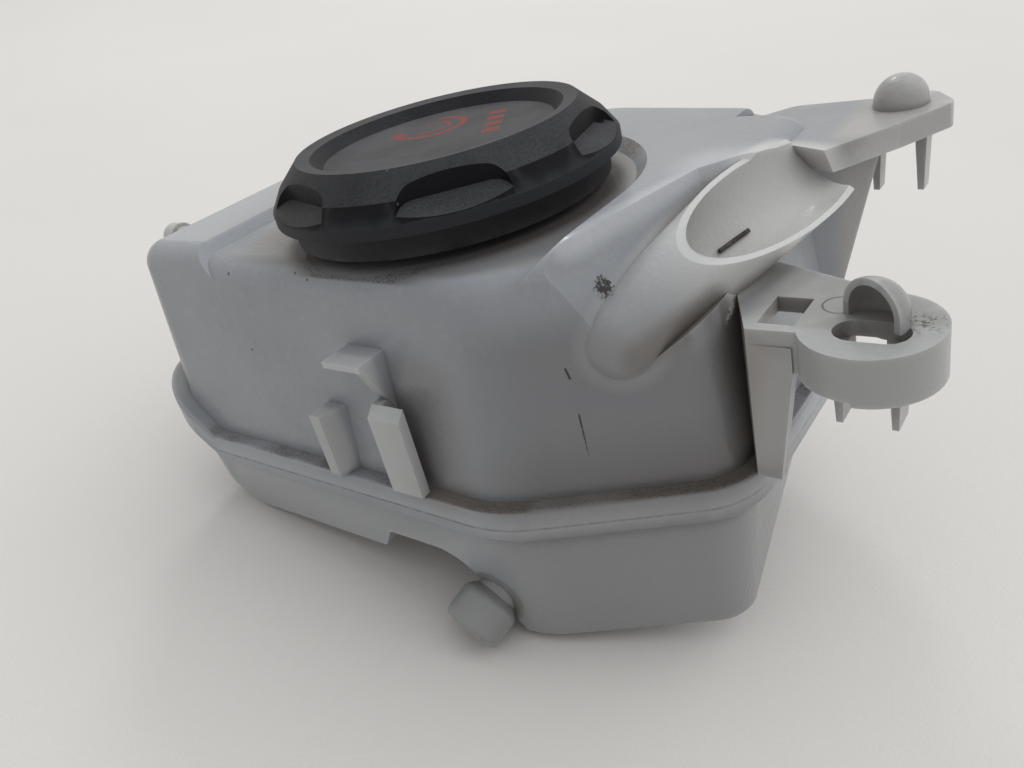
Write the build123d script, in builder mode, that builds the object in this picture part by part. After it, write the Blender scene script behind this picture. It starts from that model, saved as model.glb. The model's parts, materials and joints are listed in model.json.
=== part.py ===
import os
from math import cos, radians, sin, tan

from build123d import *

# Coolant expansion tank: two moulded half shells welded at a flange, and a screw cap that holds
# a pressure valve and a vacuum valve. Millimetres, +Z up, the tank level as it is fitted in a car.

os.makedirs("parts", exist_ok=True)

# Place of the filler neck's axis
neck_x = -4.35
neck_y = -11.95

# Tank body in plan at the weld seam, measured from the neck's axis
body_left = 81.0
body_right = 68.5
body_front = 40.5
body_back = 70.0
front_bend_x = 28.0
front_bend_angle = 30.0
back_left_cut = 30.0
back_right_cut_x = 20.0
back_right_cut_y = 22.0
back_slope_x = 10.0
back_slope_drop = 8.0
corner_round = 10.0
bend_round = 24.0
side_round = 13.0
back_round = 12.0

# Heights above the sump's bottom
seam_z = 37.0
pocket_z = 88.0
top_z = 90.5
left_floor_z = 16.0
tunnel_roof_z = 22.0
back_floor_z = 28.0

# Walls
wall = 2.6
wall_draft = 5.6
sump_draft = 5.0
shoulder_round = 6.0
sump_round = 3.0

# Lower step of the top at the back right
back_step = 2.6
back_step_at = (46.0, 46.0)

# Weld flange, which steps up at the left end
flange_out = 3.0
upper_flange = 4.5
lower_flange = 3.2
flange_round = 0.9
seam_ramp_x = 64.0
seam_ramp_angle = 38.0

# Underside of the lower shell
toe_x = 66.0
toe_round = 12.0
tunnel_left_x = 15.0
tunnel_bevel = 4.0
tunnel_bevel_round = 1.5
tunnel_right_x = 10.0
tunnel_round = 13.0
sump_left_x = 24.0
sump_back = -12.0
sump_back_slope = 24.0

# Recessed field round the neck
ridge_inner_x = 50.0
ridge_slope = 45.0
well_r = 40.0

# Flank of the raised block beside the pocket tube
flank_tip = (42.0, -28.0)
flank_knee = (52.0, 13.0)
flank_back = (65.0, 29.0)
flank_slope = 20.0
flank_tip_round = 30.0

# Slanted blind pocket tube and the trough that it lies in
spout_r = 10.0
spout_end_r = 8.4
spout_wall = 1.0
spout_depth = 38.5
spout_heading = 63.0
spout_rise = 21.0
spout_mouth = (65.2, 13.8, 83.9)
mouth_normal = (0.518, -0.179, 0.836)
spout_tail = 16.0
trough_tilt = 28.0
trough_bury = 2.2

# Front ear
front_ear_z = 72.5
front_ear_h = 8.0
front_eye = (90.2, -10.0)
front_eye_r = 11.5
front_ear_root_front = 1.0
front_ear_corner = (71.3, -15.4)
front_ear_waist = (79.8, -15.0)
front_ear_root_back = 13.0
ear_plate = 3.0
ear_root_in = 5.6
ear_skirt = 2.4
window_size = (6.5, 10.0)
window_at = (75.75, -8.0)
front_slot = (12.0, 7.0)
front_slot_at = (91.0, -12.5)
front_hood_r = 6.0
front_hood_high = 1.8
hood_wall = 1.2
hood_heading = 150.0
gusset_thick = 2.4
gusset_reach = 10.6
gusset_foot = 7.3

# Back ear
back_ear_z = 88.2
back_ear_h = 5.0
back_ear_root_y = 24.0
back_ear_root_in = 10.0
back_ear_neck_in = (24.0, 48.0)
back_ear_rear_in = (14.0, 60.0)
back_eye = (78.0, 56.5)
back_eye_front = (3.0, 13.5)
back_eye_side = 10.5
back_eye_rear = (4.5, 9.5)
back_eye_inner = (6.0, 5.5)
back_hood_r = 5.5
back_hood_high = 0.8
back_hole_r = 3.6
back_root_round = 3.0
back_tip_round = 8.0
back_side_round = 3.0
back_rear_round = 6.0
back_arm_round = 4.0
seat_pad_high = 0.8
back_pad_r = 7.0
web_thick = 3.0
web_heading = 45.0
web_reach = 14.0
web_drop = 40.0
web_root_in = 5.2
web_root_y = 10.0
web_foot = 2.6

# Snap prongs under both ears
front_prong_wide = 7.0
back_prong_wide = 5.0
prong_thick = 2.4
prong_taper = 2.5
front_prong_drop = 15.0
back_prong_drop = 13.0
prong_apart = 9.0

# Cable clip on the front wall
shelf_z = 72.5
shelf_x = (-5.0, 5.5)
shelf_thick = 1.4
clip_front = 44.5
clip_root = 34.0
shelf_rib_drop = 13.0
shelf_rib_foot = 4.6
left_tab_x = (-16.5, -13.5)
left_tab_flare = 5.3
left_tab_z = (41.0, 57.5)
right_tab_x = (3.0, 11.5)
right_tab_z = (42.0, 62.5)
tab_thick = 2.4
tab_bevel = 2.2

# Vent nipple on the left end
vent_r = 3.0
vent_bead_r = 3.9
vent_bore_r = 1.6
vent_out = 12.0
vent_y = -14.0
vent_z = 83.5
vent_bead_long = 4.0
vent_bore_in = 20.0

# Outlet spigot beside the sump
spigot_r = 5.0
spigot_bead_r = 7.0
spigot_bore_r = 3.6
spigot_tip = (14.0, -46.44, 6.6)
spigot_root = (22.0, -20.0, 19.0)
spigot_bead_long = 8.0
spigot_bead_round = 2.0

# Filler neck
neck_bore_r = 23.5
neck_wall = 3.5
neck_rim_z = 97.5
neck_tube_wall = 2.5
neck_foot_z = 69.5
seat_high = 5.0

# Cap: cover, core and rim seal, built up outwards from the neck
rim_seal_thick = 1.2
rim_seal_in = 0.6
core_plate = 2.8
snap_gap = 0.1
cover_thick = 1.4
neck_gap = 0.6
core_wall = 1.4
skirt_gap = 3.0
skirt_wall = 3.0
grip_lip = 2.9
grip_drop = 7.7
grip_side = 2.2
bevel_in = 2.6
bevel_high = 6.0
crest_in = 4.9
rim_rise = 2.9
rim_wide = 3.0
rim_inner_drop = 0.5
dish_slope = 2.3
scallop_count = 6
scallop_start = 13.0
scallop_wide = 22.0
scallop_depth = 5.6
scallop_round = 4.0
ledge_low = 2.4
ledge_high = 5.0
skirt_drop = 5.1
skirt_in = 1.6
skirt_web = 1.6
thread_gap = 0.5
plug_wall = 2.6
plug_drop = 19.0
plug_lip = 1.6
plug_lip_in = 1.2

# Valve insert in the plug
cup_gap = 0.3
cup_wall = 1.8
cup_floor_z = 70.5
cup_floor = 2.0
seal_gap = 0.3
o_ring_wire = 1.8
o_ring_rise = 2.2
o_ring_stand = 1.3
port_r = 7.5
port_edge = 0.7
valve_seal_wide = 3.3
valve_seal_thick = 1.4
valve_plate_edge = 1.0
valve_plate_thick = 2.0
valve_bush_r = 5.5
valve_bush_high = 4.0
retainer_thick = 2.0
retainer_in = 1.5
retainer_lip = 1.75
spring_clear = 2.75
spring_wire = 1.5
spring_turns = 5.0
spring_gap = 0.05
stem_r = 1.6
stem_clear = 0.5
disc_in = 2.5
disc_thick = 1.6
stem_head_edge = 0.65
stem_head_thick = 1.2
small_spring_high = 4.0
small_spring_clear = 0.85
small_spring_wire = 0.5
small_spring_turns = 4.0

# Reach of cutting shapes past the body
past = 40.0
reach = body_left + body_right + past

# Heights that stack up from the neck's rim
core_under_z = neck_rim_z + rim_seal_thick
core_top_z = core_under_z + core_plate
dish_z = core_top_z + snap_gap + cover_thick
grip_z = dish_z - grip_drop
skirt_top_z = grip_z + skirt_in
plug_bottom_z = core_under_z - plug_drop
cup_seat_z = plug_bottom_z + plug_lip
cup_top_z = core_under_z - cup_gap
cup_inside_z = cup_floor_z + cup_floor
plate_z = cup_inside_z + valve_seal_thick
plate_top_z = plate_z + valve_plate_thick
bush_top_z = plate_top_z + valve_bush_high
retainer_z = cup_top_z - retainer_in - retainer_thick
stem_head_z = bush_top_z + small_spring_high

# Radii that follow from the neck's bore, outwards to the cap's grip
neck_r = neck_bore_r + neck_wall
core_inner_r = neck_r + neck_gap
core_r = core_inner_r + core_wall
skirt_inner_r = core_r + skirt_gap
skirt_r = skirt_inner_r + skirt_wall
grip_r = skirt_r + snap_gap + grip_lip
bevel_r = grip_r - bevel_in
crest_r = bevel_r - crest_in
rim_inner_r = crest_r - rim_wide
dish_r = rim_inner_r - dish_slope

# Radii that follow from the neck's bore, inwards to the valves
plug_r = neck_bore_r - thread_gap
plug_bore_r = plug_r - plug_wall
plug_lip_r = plug_bore_r - plug_lip_in
cup_upper_r = plug_bore_r - cup_gap
cup_lower_r = plug_lip_r - cup_gap
seat_bore_r = cup_lower_r + o_ring_stand
o_ring_r = seat_bore_r - seal_gap - o_ring_wire / 2
valve_seal_in_r = port_r + port_edge
valve_seal_out_r = valve_seal_in_r + valve_seal_wide
valve_plate_r = valve_seal_out_r + valve_plate_edge
spring_r = valve_bush_r + spring_clear + spring_wire / 2
retainer_bore_r = spring_r - spring_wire / 2 - retainer_lip
disc_r = port_r - disc_in
small_spring_r = stem_r + small_spring_clear + small_spring_wire / 2
stem_head_r = small_spring_r + small_spring_wire / 2 + stem_head_edge

neck_axis = Axis((neck_x, neck_y, 0), (0, 0, 1))
side_plane = Plane(origin=(neck_x, neck_y, 0), x_dir=(1, 0, 0), z_dir=(0, -1, 0))
end_plane = Plane(origin=(neck_x, neck_y, 0), x_dir=(0, 1, 0), z_dir=(1, 0, 0))


def level(z):
    """Horizontal plane at height z with its origin on the neck's axis."""
    return Plane(origin=(neck_x, neck_y, z))


def at_neck(x, y, z):
    """A point given from the neck's axis, in the part's frame."""
    return (neck_x + x, neck_y + y, z)


def body_outline(z, grow=0.0):
    """The tank's plan at the seam, grown or shrunk all round."""
    right_front = -body_front + (body_right - front_bend_x) * tan(radians(front_bend_angle))
    corners = [
        (-body_left, -body_front),
        (front_bend_x, -body_front),
        (body_right, right_front),
        (body_right, body_back - back_right_cut_y),
        (body_right - back_right_cut_x, body_back - back_slope_drop),
        (back_slope_x, body_back),
        (back_left_cut - body_left, body_back),
        (-body_left, body_back - back_left_cut),
    ]
    rounds = [corner_round, bend_round, side_round] + 5 * [back_round]
    with BuildSketch(level(z)) as outline:
        with BuildLine():
            FilletPolyline(*corners, radius=rounds, close=True)
        make_face()
        if grow:
            offset(amount=grow, mode=Mode.REPLACE)
    return outline.sketch


def seam_band(below, above):
    """Side profile of a band along the seam line, with its climb at the left end."""
    left = -body_left - past
    climb = (-seam_ramp_x - left) * tan(radians(seam_ramp_angle))
    right = body_right + past
    with BuildSketch(side_plane) as band:
        with BuildLine():
            Polyline(
                (left, seam_z + climb - below),
                (-seam_ramp_x, seam_z - below),
                (right, seam_z - below),
                (right, seam_z + above),
                (-seam_ramp_x, seam_z + above),
                (left, seam_z + climb + above),
                close=True,
            )
        make_face()
    return band.sketch


def flange_rim(faces, side):
    """Outer edges of a flange on its upper (1) or lower (-1) side, without the kink where it climbs."""
    flats = faces.filter_by(lambda face: side * face.normal_at().Z > 0.5)
    return flats.edges().filter_by(lambda edge: abs(edge.center().X - neck_x + seam_ramp_x) > flange_out)


def neck_field(z, grow=0.0):
    """Plan of the recessed field round the neck, open over the front edge."""
    with BuildSketch(level(z)) as field:
        with Locations((-ridge_inner_x, 0)):
            Rectangle(ridge_inner_x + well_r, body_front + past, align=(Align.MIN, Align.MAX))
            Rectangle(ridge_inner_x, well_r, align=(Align.MIN, Align.MIN))
        Circle(well_r)
        if grow:
            offset(amount=grow, mode=Mode.REPLACE)
    return field.sketch


spout_out = Vector(sin(radians(spout_heading)), -cos(radians(spout_heading)), 0)
spout_axis = Vector(
    cos(radians(spout_heading)) * cos(radians(spout_rise)),
    sin(radians(spout_heading)) * cos(radians(spout_rise)),
    sin(radians(spout_rise)),
)
spout_frame = Plane(origin=at_neck(*spout_mouth), z_dir=spout_axis)
mouth_plane = Plane(origin=at_neck(*spout_mouth), z_dir=mouth_normal)
trough_normal = spout_out.cross(spout_axis) * cos(radians(trough_tilt)) - spout_out * sin(radians(trough_tilt))
trough_plane = Plane(origin=at_neck(*spout_mouth), z_dir=trough_normal).offset(trough_bury - spout_end_r)


def trough(grow=0.0):
    """Cutting shape of the trough: a sloped flank on the left and a tilted bed under the tube."""
    lead = (
        flank_tip[0] - past * cos(radians(front_bend_angle)),
        flank_tip[1] - past * sin(radians(front_bend_angle)),
    )
    with BuildSketch(level(top_z)) as plan:
        with BuildLine():
            FilletPolyline(
                lead,
                flank_tip,
                flank_knee,
                flank_back,
                (body_right + past, flank_back[1]),
                (body_right + past, -body_front - past),
                (lead[0], -body_front - past),
                radius=[0, flank_tip_round, 0, 0, 0, 0, 0],
                close=True,
            )
        make_face()
        if grow:
            offset(amount=grow, mode=Mode.REPLACE)
    with BuildPart() as groove:
        extrude(plan.sketch, amount=past)
        extrude(plan.sketch, amount=-past, taper=flank_slope)
        with BuildSketch(trough_plane.offset(-grow)):
            Rectangle(2 * reach, 2 * reach)
        extrude(amount=-reach, mode=Mode.SUBTRACT)
    return groove.part


def drafted_block(z, inset):
    """Drafted block from the seam up to a flat top, with a rounded shoulder on the outside."""
    with BuildPart() as block:
        extrude(body_outline(seam_z, -inset), amount=z - inset - seam_z, taper=wall_draft)
        if not inset:
            fillet(block.faces().sort_by(Axis.Z)[-1].edges(), radius=shoulder_round)
    return block.part


def upper_form(inset=0.0):
    """Drafted upper body: the outside, or the hollow inside it when set in by the wall."""
    sink = shoulder_round + wall
    with BuildPart() as form:
        add(drafted_block(top_z, inset))
        extrude(
            neck_field(pocket_z - inset - sink, inset - sink * tan(radians(ridge_slope))),
            amount=sink + top_z - pocket_z + wall,
            taper=-ridge_slope,
            mode=Mode.SUBTRACT,
        )
        add(drafted_block(pocket_z, inset))
        with BuildSketch(level(top_z - back_step - inset)):
            with Locations((back_step_at[0] - inset, back_step_at[1] - inset)):
                Rectangle(past, past, align=Align.MIN)
        extrude(amount=past, mode=Mode.SUBTRACT)
        add(trough(inset), mode=Mode.SUBTRACT)
    return form.part


def floor_cut(grow=0.0):
    """Side profile of all that lies under the tank: raised toe, left floor, hose tunnel, sump side."""
    low = -past
    with BuildSketch(side_plane) as cut:
        with BuildLine():
            FilletPolyline(
                (-body_left - past, seam_z + past * tan(radians(seam_ramp_angle))),
                (-toe_x, left_floor_z),
                (-tunnel_left_x, left_floor_z),
                (-tunnel_left_x + tunnel_bevel, tunnel_roof_z),
                (tunnel_right_x, tunnel_roof_z),
                (sump_left_x, 0),
                (sump_left_x, low),
                (-body_left - past, low),
                radius=[0, toe_round, tunnel_bevel_round, tunnel_bevel_round, tunnel_round, 0, 0, 0],
                close=True,
            )
        make_face()
        if grow:
            offset(amount=grow, mode=Mode.REPLACE)
    return cut.sketch


def back_cut(grow=0.0):
    """End profile of what lies behind the sump, right of the hose tunnel."""
    with BuildSketch(end_plane.offset(tunnel_right_x - grow)) as cut:
        with BuildLine():
            Polyline(
                (sump_back, -past),
                (sump_back, 0),
                (sump_back + sump_back_slope, back_floor_z),
                (body_back + past, back_floor_z),
                (body_back + past, -past),
                close=True,
            )
        make_face()
        if grow:
            offset(amount=grow, mode=Mode.REPLACE)
    return cut.sketch


def lower_form(inset=0.0):
    """Drafted lower body with its sump: the outside, or the hollow inside it."""
    with BuildPart() as form:
        extrude(body_outline(seam_z, -inset), amount=seam_z - inset, dir=(0, 0, -1), taper=sump_draft)
        extrude(floor_cut(inset), amount=reach, both=True, mode=Mode.SUBTRACT)
        extrude(back_cut(inset), amount=reach, mode=Mode.SUBTRACT)
        if not inset:
            fillet(form.faces().sort_by(Axis.Z)[0].edges(), radius=sump_round)
    return form.part


def spout_form(thin, mouth_cut):
    """Round-ended tapering rod along the pocket tube, cut off at the slanted mouth or left long."""
    tail_r = spout_r + (spout_r - spout_end_r) * spout_tail / spout_depth
    with BuildPart() as rod:
        with Locations(spout_frame.offset(-spout_depth)):
            Cone(
                spout_end_r - thin,
                tail_r - thin,
                spout_depth + spout_tail,
                align=(Align.CENTER, Align.CENTER, Align.MIN),
            )
            Sphere(spout_end_r - thin)
        if mouth_cut:
            with BuildSketch(mouth_plane):
                Circle(spout_depth)
            extrude(amount=spout_depth, mode=Mode.SUBTRACT)
    return rod.part


def front_ear_plan(z, shrink=0.0):
    """Plan of the front ear: a round eye on an arm whose front corner stands clear of the wall."""
    eye_x, eye_y = front_eye
    root_x = body_right - ear_root_in
    with BuildSketch(level(z)) as plan:
        with BuildLine():
            Polyline(
                (root_x, front_ear_root_front),
                front_ear_corner,
                front_ear_waist,
                (eye_x, eye_y - front_eye_r),
                (eye_x, eye_y + front_eye_r),
                (root_x, front_ear_root_back),
                close=True,
            )
        make_face()
        with Locations(front_eye):
            Circle(front_eye_r)
        if shrink:
            offset(amount=-shrink, mode=Mode.REPLACE)
    return plan.sketch


def gusset():
    """Stay under the front ear: a leaf along its front edge and a leaf back to the tank's wall."""
    corner_x, corner_y = front_ear_corner
    root_x = body_right - ear_root_in
    end_x = body_right + gusset_reach
    foot_z = seam_z + upper_flange
    with BuildPart() as stay:
        with BuildSketch(level(foot_z)):
            with BuildLine():
                Polyline(
                    (root_x, front_ear_root_front),
                    (corner_x, corner_y),
                    (end_x, corner_y),
                    (end_x, corner_y + gusset_thick),
                    (corner_x + gusset_thick / 2, corner_y + gusset_thick),
                    (root_x + gusset_thick, front_ear_root_front + gusset_thick / 2),
                    close=True,
                )
            make_face()
        extrude(amount=front_ear_z - ear_plate - foot_z)
        with BuildSketch(side_plane.offset(-corner_y)):
            with BuildLine():
                Polyline(
                    (end_x, front_ear_z - front_ear_h),
                    (body_right + gusset_foot, foot_z),
                    (end_x, foot_z),
                    close=True,
                )
            make_face()
        extrude(amount=-gusset_thick, mode=Mode.SUBTRACT)
    return stay.part


def back_ear_plan(z):
    """Plan of the back ear: an arm that tapers from the block's corner to its eye."""
    eye_x, eye_y = back_eye
    with BuildSketch(level(z)) as plan:
        with BuildLine():
            FilletPolyline(
                (body_right - back_ear_root_in, back_ear_root_y),
                (body_right, back_ear_root_y),
                (eye_x + back_eye_front[0], eye_y - back_eye_front[1]),
                (eye_x + back_eye_side, eye_y),
                (eye_x + back_eye_rear[0], eye_y + back_eye_rear[1]),
                (eye_x - back_eye_inner[0], eye_y + back_eye_inner[1]),
                (body_right - back_ear_rear_in[0], back_ear_rear_in[1]),
                (body_right - back_ear_neck_in[0], back_ear_neck_in[1]),
                radius=[
                    0,
                    back_root_round,
                    back_tip_round,
                    back_side_round,
                    back_side_round,
                    back_rear_round,
                    back_arm_round,
                    0,
                ],
                close=True,
            )
        make_face()
    return plan.sketch


def hood(eye, z, radius, high):
    """Upright round hood with a domed top."""
    with BuildPart() as dome:
        with BuildSketch(level(z)):
            with Locations(eye):
                Circle(radius)
        extrude(amount=high)
        with Locations(at_neck(*eye, z + high)):
            Sphere(radius)
        split(bisect_by=level(z), keep=Keep.TOP)
    return dome.part


def prongs(eye, z, drop, wide):
    """Pair of snap legs that taper downwards under an ear."""
    with BuildPart() as legs:
        with BuildSketch(level(z)):
            with Locations(eye):
                with GridLocations(prong_apart, wide, 2, 1):
                    Rectangle(prong_thick, wide)
        extrude(amount=-drop, taper=prong_taper)
    return legs.part


with BuildPart() as upper:
    # Weld flange along the stepped seam
    extrude(body_outline(seam_z, flange_out), amount=past)
    extrude(seam_band(0, upper_flange), amount=reach, both=True, mode=Mode.INTERSECT)
    fillet(flange_rim(upper.faces(), 1), radius=flange_round)
    add(upper_form())
    extrude(seam_band(past, 0), amount=reach, both=True, mode=Mode.SUBTRACT)

    # Filler neck
    with BuildSketch(level(pocket_z - wall)):
        Circle(neck_r)
    extrude(amount=neck_rim_z - pocket_z + wall)

    # Front ear with its skirt, window and gusset
    extrude(front_ear_plan(front_ear_z), amount=-front_ear_h)
    extrude(
        front_ear_plan(front_ear_z - front_ear_h, ear_skirt),
        amount=front_ear_h - ear_plate,
        mode=Mode.SUBTRACT,
    )
    with BuildSketch(level(front_ear_z)):
        with Locations(window_at):
            Rectangle(*window_size)
    extrude(amount=-front_ear_h, mode=Mode.SUBTRACT)
    add(gusset())
    add(hood(front_eye, front_ear_z, front_hood_r, front_hood_high))

    # Back ear and its web
    extrude(back_ear_plan(back_ear_z), amount=-back_ear_h)
    web_plane = Plane(
        origin=at_neck(body_right - wall, body_back - back_right_cut_y - web_root_y, 0),
        x_dir=(cos(radians(web_heading)), sin(radians(web_heading)), 0),
        z_dir=(sin(radians(web_heading)), -cos(radians(web_heading)), 0),
    )
    with BuildSketch(web_plane):
        with BuildLine():
            Polyline(
                (-web_root_in, back_ear_z - back_ear_h),
                (web_reach, back_ear_z - back_ear_h),
                (web_foot, back_ear_z - web_drop),
                (-web_root_in, back_ear_z - web_drop),
                close=True,
            )
        make_face()
    extrude(amount=web_thick / 2, both=True)
    add(hood(back_eye, back_ear_z, back_hood_r, back_hood_high))

    # Cable clip: shelf with a rib, and two upright tabs
    with BuildSketch(level(shelf_z)):
        with Locations((shelf_x[0], -clip_front)):
            Rectangle(shelf_x[1] - shelf_x[0], clip_front - clip_root, align=Align.MIN)
    extrude(amount=-shelf_thick)
    with BuildSketch(end_plane.offset(shelf_x[1])):
        with BuildLine():
            Polyline(
                (-clip_root, shelf_z),
                (-clip_front, shelf_z),
                (-clip_root - shelf_rib_foot, shelf_z - shelf_rib_drop),
                (-clip_root, shelf_z - shelf_rib_drop),
                close=True,
            )
        make_face()
    extrude(amount=-tab_thick)
    with BuildSketch(level(left_tab_z[0])):
        with BuildLine():
            Polyline(
                (left_tab_x[0], -clip_front),
                (left_tab_x[1], -clip_front),
                (left_tab_x[1] + left_tab_flare, -clip_root),
                (left_tab_x[0], -clip_root),
                close=True,
            )
        make_face()
    extrude(amount=left_tab_z[1] - left_tab_z[0])
    with BuildSketch(level(right_tab_z[0])):
        with Locations((right_tab_x[0], -clip_front)):
            Rectangle(right_tab_x[1] - right_tab_x[0], tab_thick, align=Align.MIN)
            Rectangle(tab_thick, clip_front - clip_root, align=Align.MIN)
    extrude(amount=right_tab_z[1] - right_tab_z[0])
    with BuildSketch(end_plane.offset(right_tab_x[1])):
        with BuildLine():
            Polyline(
                (-clip_front, right_tab_z[1] - tab_bevel),
                (-clip_front, right_tab_z[1]),
                (-clip_front + tab_bevel, right_tab_z[1]),
                close=True,
            )
        make_face()
    extrude(amount=right_tab_x[0] - right_tab_x[1], mode=Mode.SUBTRACT)

    # Vent nipple
    vent_plane = Plane(origin=at_neck(-body_left, vent_y, vent_z), z_dir=(-1, 0, 0))
    with BuildSketch(vent_plane.offset(-corner_round)):
        Circle(vent_r)
    extrude(amount=corner_round + vent_out)
    with BuildSketch(vent_plane.offset(vent_out - vent_bead_long)):
        Circle(vent_bead_r)
    extrude(amount=vent_bead_long)

    # Hollow inside, then the neck's inner tube with its seat ring and the pocket tube
    add(upper_form(wall), mode=Mode.SUBTRACT)
    with BuildSketch(level(neck_foot_z)):
        Circle(neck_bore_r + neck_tube_wall)
    extrude(amount=pocket_z - neck_foot_z)
    add(spout_form(0, True))
    with BuildSketch(level(neck_foot_z + seat_high)):
        Circle(neck_bore_r)
    extrude(amount=neck_rim_z - neck_foot_z, mode=Mode.SUBTRACT)
    with BuildSketch(level(neck_foot_z)):
        Circle(seat_bore_r)
    extrude(amount=seat_high, mode=Mode.SUBTRACT)
    add(spout_form(spout_wall, False), mode=Mode.SUBTRACT)
    with BuildSketch(vent_plane.offset(vent_out)):
        Circle(vent_bore_r)
    extrude(amount=-vent_out - vent_bore_in, mode=Mode.SUBTRACT)

    # Open hoods over the ears' holes
    with BuildSketch(level(front_ear_z)):
        with Locations(front_slot_at):
            SlotOverall(*front_slot)
    extrude(amount=-ear_plate, mode=Mode.SUBTRACT)
    add(hood(front_eye, front_ear_z, front_hood_r - hood_wall, front_hood_high), mode=Mode.SUBTRACT)
    with BuildSketch(level(front_ear_z)):
        with Locations(front_eye):
            Rectangle(
                2 * front_hood_r,
                front_hood_r,
                rotation=hood_heading,
                align=(Align.CENTER, Align.MIN),
            )
    extrude(amount=front_hood_r + front_hood_high, mode=Mode.SUBTRACT)
    add(hood(back_eye, back_ear_z, back_hood_r - hood_wall, back_hood_high), mode=Mode.SUBTRACT)
    with BuildSketch(level(back_ear_z - back_ear_h)):
        with Locations(back_eye):
            Circle(back_hole_r)
    extrude(amount=back_ear_h, mode=Mode.SUBTRACT)

    # Seat pads under the ears, and the snap prongs
    with BuildSketch(level(front_ear_z - front_ear_h)):
        with Locations(front_eye):
            Circle(front_eye_r)
            Circle(front_eye_r - ear_skirt, mode=Mode.SUBTRACT)
            Rectangle(
                2 * front_eye_r,
                2 * front_eye_r,
                align=(Align.MAX, Align.CENTER),
                mode=Mode.SUBTRACT,
            )
    extrude(amount=-seat_pad_high)
    with BuildSketch(level(back_ear_z - back_ear_h)):
        with Locations(back_eye):
            Circle(back_pad_r)
            Circle(back_hole_r, mode=Mode.SUBTRACT)
    extrude(amount=-seat_pad_high)
    add(prongs(front_eye, front_ear_z - ear_plate, front_prong_drop, front_prong_wide))
    add(prongs(back_eye, back_ear_z - back_ear_h, back_prong_drop, back_prong_wide))

upper.part.label = "upper_tank_shell"
export_step(upper.part, "parts/upper_tank_shell.step")

spigot_axis = Vector(*spigot_tip) - Vector(*spigot_root)
spigot_plane = Plane(origin=at_neck(*spigot_root), z_dir=spigot_axis)
spigot_side = Plane(origin=spigot_plane.origin, x_dir=spigot_plane.x_dir, z_dir=-spigot_plane.y_dir)

with BuildPart() as lower:
    # Weld flange along the stepped seam, and the wall that climbs with it
    extrude(body_outline(seam_z - lower_flange, flange_out), amount=past)
    extrude(seam_band(lower_flange, 0), amount=reach, both=True, mode=Mode.INTERSECT)
    fillet(flange_rim(lower.faces(), -1), radius=flange_round)
    add(upper_form())
    extrude(seam_band(0, past + top_z), amount=reach, both=True, mode=Mode.SUBTRACT)
    add(lower_form())

    # Outlet spigot with its hose bead
    with BuildSketch(spigot_plane):
        Circle(spigot_r)
    extrude(amount=spigot_axis.length)
    with BuildSketch(spigot_side):
        with BuildLine():
            FilletPolyline(
                (0, spigot_axis.length),
                (spigot_bead_r, spigot_axis.length),
                (spigot_bead_r, spigot_axis.length - spigot_bead_long),
                (0, spigot_axis.length - spigot_bead_long - spigot_bead_r),
                radius=[0, spigot_bead_round, spigot_bead_round, 0],
                close=True,
            )
        make_face()
    revolve(axis=Axis(spigot_side.origin, spigot_axis))

    add(upper_form(wall), mode=Mode.SUBTRACT)
    add(lower_form(wall), mode=Mode.SUBTRACT)
    with BuildSketch(spigot_plane):
        Circle(spigot_bore_r)
    extrude(amount=spigot_axis.length, mode=Mode.SUBTRACT)

lower.part.label = "lower_tank_shell"
export_step(lower.part, "parts/lower_tank_shell.step")


def scallop():
    """Cutting shape of one finger scallop, with a sloping ledge, along +X from the neck's axis."""
    back_r = grip_r - scallop_depth
    with BuildPart() as cutter:
        with BuildSketch(side_plane):
            with BuildLine():
                Polyline(
                    (grip_r, grip_z + ledge_low),
                    (grip_r + past, grip_z + ledge_low),
                    (grip_r + past, dish_z + past),
                    (back_r, dish_z + past),
                    (back_r, grip_z + ledge_high),
                    close=True,
                )
            make_face()
        extrude(amount=scallop_wide / 2, both=True)
        inner = cutter.edges().filter_by(Axis.Z).group_by(Axis.X)[0]
        fillet(inner, radius=scallop_round)
    return cutter.part


with BuildPart() as cover:
    with BuildSketch(side_plane):
        with BuildLine():
            Polyline(
                (0, core_top_z + snap_gap),
                (core_r + snap_gap, core_top_z + snap_gap),
                (core_r + snap_gap, skirt_top_z + snap_gap),
                (skirt_r + snap_gap, skirt_top_z + snap_gap),
                (skirt_r + snap_gap, grip_z),
                (grip_r, grip_z),
                (grip_r, grip_z + grip_side),
                (bevel_r, grip_z + bevel_high),
                (crest_r, dish_z + rim_rise),
                (rim_inner_r, dish_z + rim_rise - rim_inner_drop),
                (dish_r, dish_z),
                (0, dish_z),
                close=True,
            )
        make_face()
    revolve(axis=neck_axis)
    cutter = scallop()
    for number in range(scallop_count):
        turn = scallop_start + number * 360 / scallop_count
        add(cutter.rotate(neck_axis, turn), mode=Mode.SUBTRACT)

cover.part.label = "cap_grip_cover"
export_step(cover.part, "parts/cap_grip_cover.step")

with BuildPart() as core:
    with BuildSketch(side_plane):
        with BuildLine():
            Polyline(
                (0, core_top_z),
                (core_r, core_top_z),
                (core_r, skirt_top_z),
                (skirt_r, skirt_top_z),
                (skirt_r, grip_z - skirt_drop),
                (skirt_inner_r, grip_z - skirt_drop),
                (skirt_inner_r, skirt_top_z - skirt_web),
                (core_inner_r, skirt_top_z - skirt_web),
                (core_inner_r, core_under_z),
                (plug_r, core_under_z),
                (plug_r, plug_bottom_z),
                (plug_lip_r, plug_bottom_z),
                (plug_lip_r, cup_seat_z),
                (plug_bore_r, cup_seat_z),
                (plug_bore_r, core_under_z),
                (0, core_under_z),
                close=True,
            )
        make_face()
    revolve(axis=neck_axis)

core.part.label = "cap_screw_core"
export_step(core.part, "parts/cap_screw_core.step")

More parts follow.
